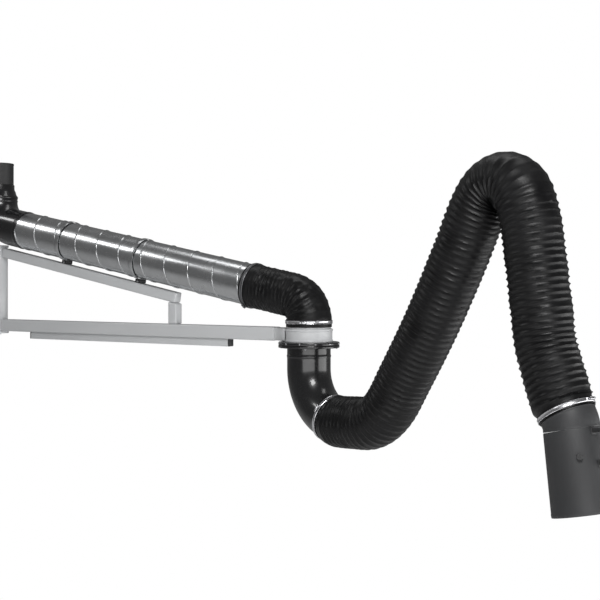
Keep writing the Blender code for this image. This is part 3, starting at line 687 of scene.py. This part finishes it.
def mouldedElbows():
    bend, drop = elbowLook["bend"], elbowLook["drop"]
    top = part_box("arm_elbow")[1].z
    dense = [armPoint(0, top + (-drop - top) * i / 6) for i in range(7)]
    dense += arcPoints((bend, -drop), bend, 180, 180 + elbowLook["sweep"], 40, armPoint)[1:]
    mouldedElbow(
        "armElbow", dense, armAxis, elbowLook["radius"], "swivel", "arm_elbow", (0.10, 0.985)
    )
    start, stop, _ = ductLine()
    way = (start - stop).normalized()
    rise = math.atan2(way.z, -way.x)
    turn, gap = wallElbowLook["bend"], wallElbowLook["gap"]
    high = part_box("wall_elbow")[1].z
    straight = (start.x - swingX - turn * (1 - math.sin(rise))) / math.cos(rise)
    knee = start + way * straight
    centre = (swingX + turn, knee.z + turn * math.cos(rise))
    dense = [start + way * (gap + (straight - gap) * i / 8) for i in range(9)]
    dense += arcPoints(centre, turn, 270 - math.degrees(rise), 180, 30, boomPoint)[1:]
    dense += [boomPoint(swingX, centre[1] + (high - centre[1]) * i / 3) for i in range(1, 4)]
    mouldedElbow(
        "wallElbow", dense, Vector((0, 1, 0)), wallElbowLook["radius"], "boom", "wall_elbow",
        (0.04, 0.96)
    )


print("modelling the elbows")
mouldedElbows()


# steelwork
postBore = 0.012
beamLook = {"corner": 0.0055, "edge": 0.0008, "braceWidth": 0.040, "braceInset": 0.004}


def steelwork():
    for name, node, edge in (
        ("wallPlate", "wall_plate", 0.0012), ("lugLower", "lug_lower", 0.0015),
        ("lugUpper", "lug_upper", 0.0015), ("toolRail", "tool_rail", 0.0009),
    ):
        softenedNode(name, node, "whitePaint", "boom" if node == "tool_rail" else "wall", edge)
    for name, node in (("railCapNear", "rail_cap_1"), ("railCapFar", "rail_cap_2")):
        softenedNode(name, node, "satinBlack", "boom", 0.0015)
    softenedNode("spigotBracket", "spigot_bracket", "satinBlack", "wall", 0.0012)
    for i in (1, 2):
        softenedNode(f"ductSaddle{i}", f"duct_saddle_{i}", "satinBlack", "boom", 0.0025, 3)
    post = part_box("post")
    radius = (post[1].x - post[0].x) / 2
    outline = [
        (radius, post[0].z), (radius, post[1].z), (postBore, post[1].z), (postBore, post[0].z)
    ]
    settle(
        placed(spunShape(outline, 96, 0.002), (swingX, 0, 0)), "boomPost", "whitePaint", "boom",
        ("post",)
    )


def steelBeam(name, node, start, end, width, body="boom"):
    # a square beam with rolled corners and closed ends
    way = (end - start).normalized()
    length = (end - start).length
    obj = softBlock((-width / 2, -width / 2, 0), (width / 2, width / 2, length), 0)
    pick(obj)
    bpy.ops.object.mode_set(mode="EDIT")
    bpy.ops.mesh.select_mode(type="EDGE")
    bpy.ops.object.mode_set(mode="OBJECT")
    for edge in obj.data.edges:
        a, b = (obj.data.vertices[i].co for i in edge.vertices)
        edge.select = abs(a.z - b.z) > length / 2
    bpy.ops.object.mode_set(mode="EDIT")
    bpy.ops.mesh.bevel(offset=beamLook["corner"], segments=5, affect="EDGES")
    bpy.ops.mesh.select_mode(type="VERT")
    bpy.ops.object.mode_set(mode="OBJECT")
    roundEdges(obj, beamLook["edge"], 2, 50)
    placed(obj, start, facing(way, (0, 1, 0)))
    return settle(obj, name, "whitePaint", body, (node,), 40)


def beams():
    low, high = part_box("boom_beam")
    steelBeam(
        "boomBeam", "boom_beam", boomPoint(low.x, 0), boomPoint(high.x, 0), high.z - low.z
    )
    low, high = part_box("boom_strut")
    middle = (low.x + high.x) / 2
    start, stop, _ = ductLine()
    slope = (start.z - stop.z) / (stop.x - start.x)
    strut = steelBeam(
        "boomStrut", "boom_strut", boomPoint(middle, low.z), boomPoint(middle, high.z), high.x - low.x
    )
    # the strut's top follows the brace it meets
    for vertex in strut.data.vertices:
        if vertex.co.z > (low.z + high.z) / 2:
            vertex.co.z -= slope * (vertex.co.x - low.x)
    low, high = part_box("brace_beam")
    width, inset = beamLook["braceWidth"], beamLook["braceInset"]
    half = width / 2 / math.cos(math.atan(slope))
    steelBeam(
        "braceBeam", "brace_beam", boomPoint(low.x + inset, high.z - half - slope * inset),
        boomPoint(high.x - inset, low.z + half + slope * inset), width
    )


# cast neck and ring at the boom's end
ringLook = {
    "band": 0.022, "lip": 0.0787, "bore": 0.0762, "upperBore": 0.0764, "lowerBore": 0.0722,
    "recess": 0.0022, "rimGap": 0.0005,
}


def boomHead():
    look = ringLook
    softenedNode("boomNeck", "boom_neck", "whitePaint", "boom", 0.005, 4, 40)
    low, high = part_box("ring_band")
    outer = (high.x - low.x) / 2
    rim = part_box("flange_upper")[1].z + look["rimGap"]
    band, waist = look["band"], outer - look["recess"]
    outline = [
        (outer, rim), (outer, rim + 0.006), (waist, rim + 0.0085), (waist, band - 0.010),
        (outer, band - 0.007), (outer, band - 0.002), (outer - 0.003, band), (look["lip"], band),
        (look["lip"], high.z), (look["bore"], high.z), (look["bore"], rim),
    ]
    settle(
        placed(spunShape(outline, 128, 0.0008), (ringX, 0, 0)), "ringBand", "whitePaint", "boom",
        ("ring_band",)
    )
    for name, node, body, inner in (
        ("flangeUpper", "flange_upper", "boom", look["upperBore"]),
        ("flangeLower", "flange_lower", "swivel", look["lowerBore"]),
    ):
        low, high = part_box(node)
        outer = (high.x - low.x) / 2
        outline = [(outer, low.z), (outer, high.z), (inner, high.z), (inner, low.z)]
        settle(
            placed(spunShape(outline, 128, 0.0022), (ringX, 0, 0)), name, "glossBlack", body, (node,)
        )


# duct supports
strapLook = {
    "gap": 0.0005, "half": 0.011, "thick": 0.0016, "bolt": 0.0042, "boltHigh": 0.004,
    "boltDrop": 0.010, "boltOut": 0.0175,
}


def ductSupports():
    look = strapLook
    start, stop, radius = ductLine()
    way = (stop - start).normalized()
    for i in (1, 2):
        low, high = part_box(f"duct_strap_{i}")
        along = ((low + high) / 2 - start).dot(way)
        inner, half = radius + look["gap"], look["half"]
        outer = inner + look["thick"]
        outline = [(inner, -half), (inner, half), (outer, half), (outer, -half)]
        turn = facing(way, (0, 1, 0))
        spot = start + way * along
        strap = placed(spunShape(outline, 96, 0.0005), spot, turn)
        down = -(up - way * up.dot(way)).normalized()
        settle(strap, f"ductStrap{i}", "galvanised", "boom", (f"duct_strap_{i}",))
        for k, side in enumerate((-1, 1)):
            bolt = roundBar(look["bolt"], 0, look["boltHigh"], 6, 0.0005)
            place = spot + down * (radius + look["boltDrop"]) + Vector((0, side * look["boltOut"], 0))
            placed(bolt, place, facing((0, side, 0), way))
            settle(bolt, f"saddleBolt{i}{k}", "plated", "boom")


# clamps with their worm housings
clampLook = {
    "thick": 0.0016, "half": 0.0060, "housing": (0.016, 0.009, 0.0085), "screw": 0.0040,
    "head": 0.0052, "armRadius": 0.0830,
}
viewRight = Vector((0.839, 0.545, 0))  # the neck clamp's housing is turned to the front right
viewNear = Vector((0.545, -0.839, 0))


def hoseClamp(name, node, centre, way, radius, body, heading):
    look = clampLook
    inner, outer, half = radius, radius + look["thick"], look["half"]
    outline = [
        (inner, -half), (outer - 0.0004, -half), (outer + 0.0006, -half + 0.0012),
        (outer, -half + 0.0028), (outer, half - 0.0028), (outer + 0.0006, half - 0.0012),
        (outer - 0.0004, half), (inner, half),
    ]
    turn = facing(way, heading)
    finish = "darkSteel" if name == "ductClamp" else "plated"
    band = placed(spunShape(outline, 96, 0), centre, turn)
    settle(band, name, finish, body, (node,))
    x, y, z = look["housing"]
    box = softBlock((outer, -x / 2, -y / 2), (outer + z, x / 2, y / 2), 0.0022, 4)
    screw = roundBar(look["screw"], -x * 0.62, x * 0.78, 24, 0.0005)
    placed(screw, (outer + z * 0.52, 0, 0), Matrix.Rotation(math.radians(90), 4, "X"))
    head = roundBar(look["head"], x * 0.60, x * 0.86, 6, 0.0006)
    placed(head, (outer + z * 0.52, 0, 0), Matrix.Rotation(math.radians(90), 4, "X"))
    housing = placed(joined([box, screw, head]), centre, turn)
    settle(housing, name + "Worm", finish, body)


def hoseClamps():
    start, stop, _ = ductLine()
    way = (stop - start).normalized()
    low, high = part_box("hose_clamp_1")
    centre = (low + high) / 2
    hoseClamp(
        "ringClamp", "hose_clamp_1", centre, up, (high.x - low.x) / 2 - clampLook["thick"], "boom",
        (0.35, -0.94, 0)
    )
    low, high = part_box("hose_clamp_2")
    hoseClamp(
        "ductClamp", "hose_clamp_2", (low + high) / 2, way,
        (high.y - low.y) / 2 - clampLook["thick"], "boom", (0, -0.5, -0.85)
    )
    low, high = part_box("arm_clamp_1")
    hoseClamp(
        "shoulderClamp", "arm_clamp_1", (low + high) / 2, exitWay, clampLook["armRadius"], "swivel",
        armAxis * 0.9 + up * 0.45
    )
    low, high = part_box("arm_clamp_2")
    hoseClamp(
        "neckClamp", "arm_clamp_2", (low + high) / 2, neckWay, clampLook["armRadius"], "neck",
        viewRight * 0.72 + viewNear * 0.70
    )


# fixings
rimScrewLook = {"count": 12, "out": 0.1098, "radius": 0.0026, "high": 0.0016}
washerLook = {"hole": 0.0055, "radius": 0.0135, "thick": 0.0018}


def domeScrew(name, spot, way, radius, high, body, finish="plated", nodes=()):
    screw = roundBar(radius, 0, high, 28, 0)
    for vertex in screw.data.vertices:
        if vertex.co.z > high / 2:
            vertex.co.x *= 0.62
            vertex.co.y *= 0.62
    roundEdges(screw, high * 0.30, 3)
    slot = roundBar(radius * 0.34, high * 0.90, high * 1.06, 6, 0)
    placed(joined([screw, slot]), spot, facing(way, (1, 0.2, 0.1)))
    settle(bpy.context.object, name, finish, body, nodes)


def fixings():
    for i in range(1, 5):
        low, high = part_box(f"flange_screw_{i}")
        middle = (low + high) / 2
        domeScrew(
            f"flangeScrew{i}", Vector((middle.x, middle.y, high.z + 0.0003)), (0, 0, -1), 0.0050,
            high.z - low.z, "swivel", "plated", (f"flange_screw_{i}",)
        )
        low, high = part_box(f"wall_bolt_{i}")
        middle = (low + high) / 2
        spot, turn = (low.x, middle.y, middle.z), facing((1, 0, 0), (0, 1, 0))
        hole, wide, thick = washerLook["hole"], washerLook["radius"], washerLook["thick"]
        outline = [(hole, 0), (wide, 0), (wide, thick), (hole, thick)]
        washer = placed(spunShape(outline, 40, 0.0003), spot, turn)
        head = roundBar((high.z - low.z) / 2 - 0.0005, thick, high.x - low.x, 6, 0.0010)
        placed(head, spot, turn)
        settle(joined([washer, head]), f"wallBolt{i}", "plated", "wall", (f"wall_bolt_{i}",))
    look = rimScrewLook
    low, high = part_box("flange_upper")
    for i in range(look["count"]):
        a = math.radians(15 + 360 / look["count"] * i)
        out = Vector((math.cos(a), math.sin(a), 0))
        spot = Vector((ringX, 0, (low.z + high.z) / 2)) + out * look["out"]
        domeScrew(f"rimScrew{i + 1}", spot, out, look["radius"], look["high"], "boom")


# spigot and collar above the wall elbow
wallPipeLook = {
    "spigot": 0.0630, "lip": 0.001, "wall": 0.003, "collarNeck": 0.0665, "collarBore": 0.0644
}


def wallPipes():
    look = wallPipeLook
    low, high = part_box("wall_spigot")
    outer, lip, wall = look["spigot"], look["lip"], look["wall"]
    outline = [
        (outer - wall, low.z), (outer, low.z), (outer, high.z - 0.010),
        (outer + lip, high.z - 0.008), (outer + lip, high.z), (outer - wall, high.z),
    ]
    settle(
        placed(spunShape(outline, 96, 0.0010), (swingX, 0, 0)), "wallSpigot", "satinBlack", "wall",
        ("wall_spigot",)
    )
    low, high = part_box("swivel_collar")
    wide = (high.x - low.x) / 2
    neck, bore = look["collarNeck"], look["collarBore"]
    shoulder = high.z - 0.022
    outline = [
        (wide - wall, low.z), (wide, low.z), (wide, low.z + 0.008),
        (wide - 0.006, low.z + 0.016), (neck + 0.004, shoulder - 0.006), (neck, shoulder + 0.002),
        (neck, high.z), (bore, high.z), (bore, shoulder - 0.001), (wide - wall, low.z + 0.006),
    ]
    settle(
        placed(spunShape(outline, 96, 0.0010), (swingX, 0, 0)), "swivelCollar", "glossBlack", "boom",
        ("swivel_collar",)
    )


# neck, hood, handle and damper
collarLook = {"radius": 0.0788, "bead": 0.0008, "beadWidth": 0.0022, "long": 0.040, "wall": 0.0026}
hoodLook = {"top": 0.0798, "mouth": 0.0955, "wall": 0.0025, "long": 0.232, "lip": 0.0012}
knobLook = {"radius": 0.0088, "low": 0.0005, "high": 0.0080, "out": 0.004}
footLook = {"half": (0.0085, 0.0110), "high": 0.0040, "sink": 0.0010, "drops": (0.012, 0.102)}


def neckAndHood():
    hoodTop = Vector(joints["hood_turn"]["pos_m"])
    hoodWay = Vector(joints["hood_turn"]["axis"]).normalized()
    rodWay = Vector(joints["damper_turn"]["axis"]).normalized()
    rodSpot = Vector(joints["damper_turn"]["pos_m"])
    first = neckEnd + neckWay * 0.001
    dense, spot = [first], first
    for i in range(12):
        bent = min(max((i - 2) / 8, 0.0), 1.0)
        way = (neckWay * (1 - bent) + hoodWay * bent).normalized()
        spot = spot + way * (collarLook["long"] / 12)
        dense.append(spot)
    drift = hoodTop - dense[-1]
    dense = [p + drift * i / (len(dense) - 1) for i, p in enumerate(dense)]
    route = evenRoute(dense, 0.0016)
    length = (route[1] - route[0]).length * (len(route) - 1)

    def radiusAt(distance, turn, squeeze):
        wide = collarLook["beadWidth"]
        bead = max(math.exp(-((distance - at * length) / wide) ** 2) for at in (0.04, 0.94))
        return collarLook["radius"] + collarLook["bead"] * bead

    collar = wrappedTube(route, armAxis, radiusAt, 96, collarLook["wall"])
    settle(collar, "neckCollar", "hoodPlastic", "neck", ("neck_collar",), 40)
    look = hoodLook
    long, wall, lip = look["long"], look["wall"], look["lip"]

    def outside(drop):
        return look["top"] + (look["mouth"] - look["top"]) * drop / long

    outline = [
        (look["top"] - 0.0006, 0.0008), (outside(0.004), 0.004), (outside(long / 2), long / 2),
        (outside(long - 0.012), long - 0.012), (outside(long - 0.009) + 0.0008, long - 0.009),
        (outside(long) + 0.0008 - lip, long), (outside(long) - wall, long),
        (outside(long / 2) - wall, long / 2), (look["top"] - wall - 0.0006, 0.0008),
    ]
    turn = facing(hoodWay, rodWay)
    shell = placed(spunShape(outline, 128, 0.0005), hoodTop, turn)
    settle(shell, "hoodShell", "hoodPlastic", "hood", ("hood_shell",))
    outline = [(0.0038, -0.0010), (0.0088, -0.0010), (0.0078, 0.0022), (0.0038, 0.0022)]
    boss = spunShape(outline, 48, 0.0006)
    outer = outside((rodSpot - hoodTop).length)
    placed(boss, rodSpot + rodWay * (outer - 0.0005), facing(rodWay, hoodWay))
    settle(boss, "damperBoss", "hoodPlastic", "hood")
    knob = roundBar(knobLook["radius"], knobLook["low"], knobLook["high"], 48, 0.0016)
    grip = softBlock((-0.0078, -0.0016, 0.006), (0.0078, 0.0016, 0.0086), 0.0010)
    placed(joined([knob, grip]), rodSpot + rodWay * (outer + knobLook["out"]), facing(rodWay, hoodWay))
    settle(bpy.context.object, "damperKnob", "satinBlack", "damper", ("damper_knob",))
    softenedNode("damperPlate", "damper_plate", "galvanised", "damper", 0.0004)
    handle = softenedNode("hoodHandle", "hood_handle", "satinBlack", "hood", 0.0004)
    addModifier(handle, "SUBSURF", levels=2, render_levels=2)
    settle(handle, "hoodHandle", "satinBlack", "hood", ("hood_handle",), 50)
    low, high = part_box("hood_handle")
    side = (low + high) / 2 - hoodTop
    side = (side - hoodWay * side.dot(hoodWay)).normalized()
    x, y = footLook["half"]
    for i, drop in enumerate(footLook["drops"]):
        foot = softBlock((-x, -y, 0), (x, y, footLook["high"]), 0.0018, 3)
        spot = hoodTop + hoodWay * drop + side * (outside(drop) - footLook["sink"])
        placed(foot, spot, facing(side, hoodWay.cross(side)))
        settle(foot, f"handleFoot{i + 1}", "satinBlack", "hood")


# everything the frame still shows gets its own finish
def finishFrameParts():
    for name, obj in frame["nodes"].items():
        if obj.hide_render:
            continue
        finish = "darkSteel" if "link" in name else "plated"
        obj.data.materials.clear()
        obj.data.materials.append(paint(finish))


print("modelling the steelwork")
steelwork()
beams()
boomHead()
ductSupports()
print("modelling the clamps and fixings")
hoseClamps()
fixings()
wallPipes()
print("modelling the hood")
neckAndHood()
finishFrameParts()


# floor, light and camera
studio = {
    "floorDrop": 0.75, "floorSize": 40.0, "world": 0.16, "backdrop": 1.0,
    "lights": (
        ("frontLight", (4.25, -3.86, -0.62), (1.74, 0, -0.15), (6.0, 1.1), 62),
        ("rightLight", (4.70, 0.70, -0.62), (1.74, 0, -0.15), (4.0, 1.1), 44),
        ("keyLight", (3.6, -2.2, 1.9), (1.8, 0, 0.0), (1.2, 1.0), 60),
        ("stripLight", (-1.8, -2.1, 3.0), (1.1, 0, 0.25), (1.5, 0.5), 26),
        ("topLight", (1.4, 0.6, 3.4), (1.5, 0, 0.1), (3.5, 0.8), 25),
    ),
}


def addLight(name, spot, aim, size, power):
    light = bpy.data.lights.new(name, "AREA")
    light.shape = "RECTANGLE"
    light.size, light.size_y = size
    light.energy = power
    obj = bpy.data.objects.new(name, light)
    bpy.context.scene.collection.objects.link(obj)
    obj.location = spot
    obj.rotation_euler = (Vector(aim) - Vector(spot)).to_track_quat("-Z", "Y").to_euler()


def addStudio():
    deselectAll()
    low = cadBounds[0]
    bpy.ops.mesh.primitive_plane_add(
        size=studio["floorSize"], location=(1.5, 0, low[2] - studio["floorDrop"])
    )
    floor = bpy.context.object
    settle(floor, "studioFloor", "floorPaint")
    # the backdrop looks white, and gives a softer light than it shows
    world = bpy.data.worlds.new("studioWorld")
    bpy.context.scene.world = world
    world.use_nodes = True
    nodes, links = world.node_tree.nodes, world.node_tree.links
    seen = nodes["Background"]
    seen.inputs["Color"].default_value = (1, 1, 1, 1)
    seen.inputs["Strength"].default_value = studio["backdrop"]
    given = nodes.new("ShaderNodeBackground")
    given.inputs["Color"].default_value = (1, 1, 1, 1)
    given.inputs["Strength"].default_value = studio["world"]
    whiteWhenSeen(nodes, links, seen, given, nodes["World Output"])
    material = floor.data.materials[0]
    nodes, links = material.node_tree.nodes, material.node_tree.links
    glow = nodes.new("ShaderNodeEmission")
    glow.inputs["Strength"].default_value = studio["backdrop"]
    whiteWhenSeen(nodes, links, glow, nodes["Principled BSDF"], nodes["Material Output"])
    for name, spot, aim, size, power in studio["lights"]:
        addLight(name, spot, aim, size, power)


def whiteWhenSeen(nodes, links, seen, given, output):
    ray = nodes.new("ShaderNodeLightPath")
    mix = nodes.new("ShaderNodeMixShader")
    links.new(ray.outputs["Is Camera Ray"], mix.inputs[0])
    links.new(given.outputs[0], mix.inputs[1])
    links.new(seen.outputs[0], mix.inputs[2])
    links.new(mix.outputs[0], output.inputs["Surface"])


camera = {
    "azimuth": 33.0, "distance": 4.13, "aside": 0.032, "height": 0.2035, "lens": 69.0,
    "shift": -0.0367,
}


def addCamera():
    look = camera
    a = math.radians(look["azimuth"])
    ahead = Vector((-math.sin(a), math.cos(a), 0))
    right = Vector((math.cos(a), math.sin(a), 0))
    data = bpy.data.cameras.new("viewCamera")
    data.lens = look["lens"]
    data.sensor_width = 36
    data.shift_y = look["shift"]
    obj = bpy.data.objects.new("viewCamera", data)
    bpy.context.scene.collection.objects.link(obj)
    spot = Vector((ringX, 0, look["height"])) - ahead * look["distance"] - right * look["aside"]
    obj.location = spot
    obj.rotation_euler = ahead.to_track_quat("-Z", "Y").to_euler()
    bpy.context.scene.camera = obj


addStudio()
addCamera()
bpy.context.scene.view_settings.view_transform = "Standard"
